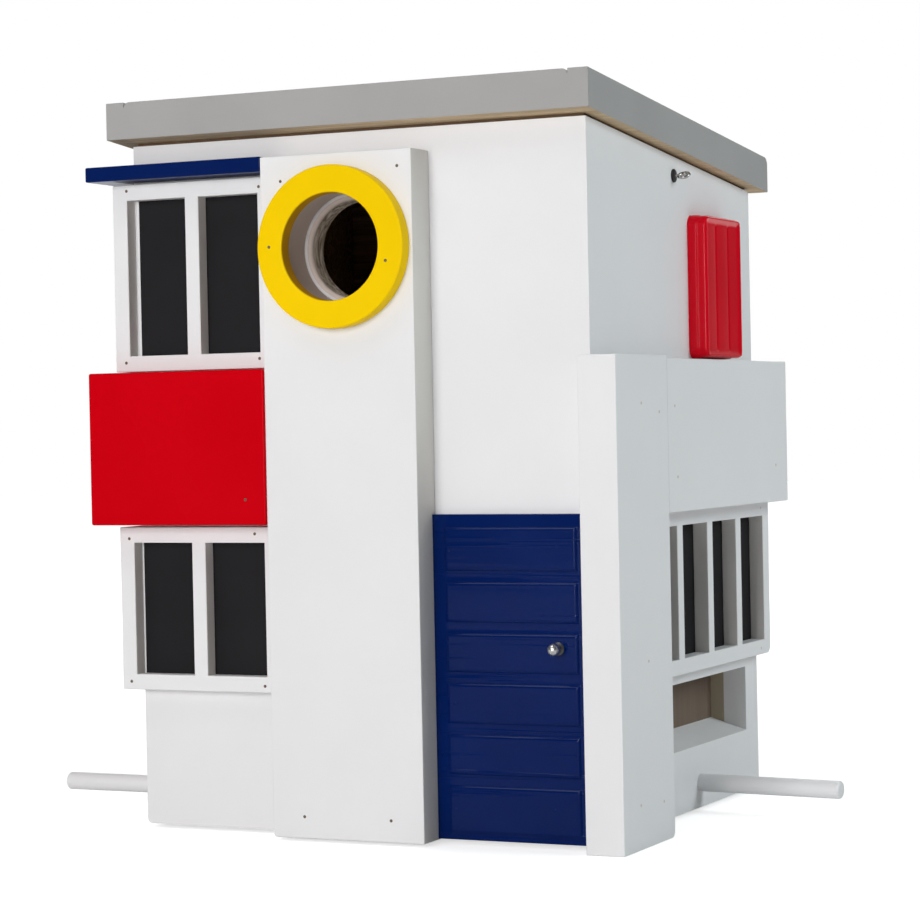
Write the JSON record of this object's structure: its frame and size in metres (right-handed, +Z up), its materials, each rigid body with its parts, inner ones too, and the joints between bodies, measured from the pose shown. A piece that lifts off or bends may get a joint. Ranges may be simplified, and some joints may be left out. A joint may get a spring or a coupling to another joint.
{
  "type": "multi-compartment nest box",
  "caption": "Painted wooden nest box shaped like a flat-roofed modern house, with a ringed round entrance, framed dark windows, fixed door, shutters, side recesses and dowel perches.",
  "frame": {"origin": "on the ground under the middle of the four walls, in the plane of the floor board's underside", "axes": "+Z up, the front with the ringed entrance and the door faces -Y, the side with the corner post and the slatted window faces +X"},
  "size_m": [0.3544, 0.2355, 0.3214],
  "materials": {
    "white_paint": "satin white paint on plywood and solid boards",
    "grey_paint": "matt grey paint on board edges",
    "blue_paint": "gloss dark blue paint, brushed",
    "red_paint": "gloss red paint",
    "yellow_paint": "satin yellow paint",
    "dark_sheet": "smooth dark grey sheet",
    "raw_plywood": "unpainted plywood",
    "steel": "plated steel"
  },
  "bodies": {
    "root": {"front_wall": "white_paint", "back_wall": "white_paint", "left_wall": "white_paint", "right_wall": "white_paint", "floor_board": "raw_plywood", "roof_board": "raw_plywood", "roof_front_fascia": "grey_paint", "roof_back_fascia": "grey_paint", "roof_left_fascia": "grey_paint", "roof_right_fascia": "grey_paint", "tall_front_board": "white_paint", "entrance_ring": "yellow_paint", "blue_canopy_front": "blue_paint", "blue_canopy_left": "blue_paint", "front_upper_window_frame": "white_paint", "front_lower_window_frame": "white_paint", "front_window_sheets": "dark_sheet", "front_red_board": "red_paint", "left_red_board": "red_paint", "blue_door": "blue_paint", "door_knob": "steel", "left_upper_window_frame": "white_paint", "left_lower_window_frame": "white_paint", "left_window_sheets": "dark_sheet", "back_upper_window_frame": "white_paint", "back_lower_window_frame": "white_paint", "back_window_sheets": "dark_sheet", "corner_post": "white_paint", "right_balcony_board": "white_paint", "slatted_window_frame": "white_paint", "slatted_window_sheet": "dark_sheet", "right_red_shutter": "red_paint", "left_red_shutter": "red_paint", "right_recess_liner": "raw_plywood", "right_recess_sill": "white_paint", "right_recess_back": "raw_plywood", "left_recess_liner": "raw_plywood", "left_recess_sill": "white_paint", "left_recess_back": "raw_plywood", "right_perch": "white_paint", "left_perch": "white_paint", "right_eye_screw": "steel", "left_eye_screw": "steel"}
  },
  "joints": []
}
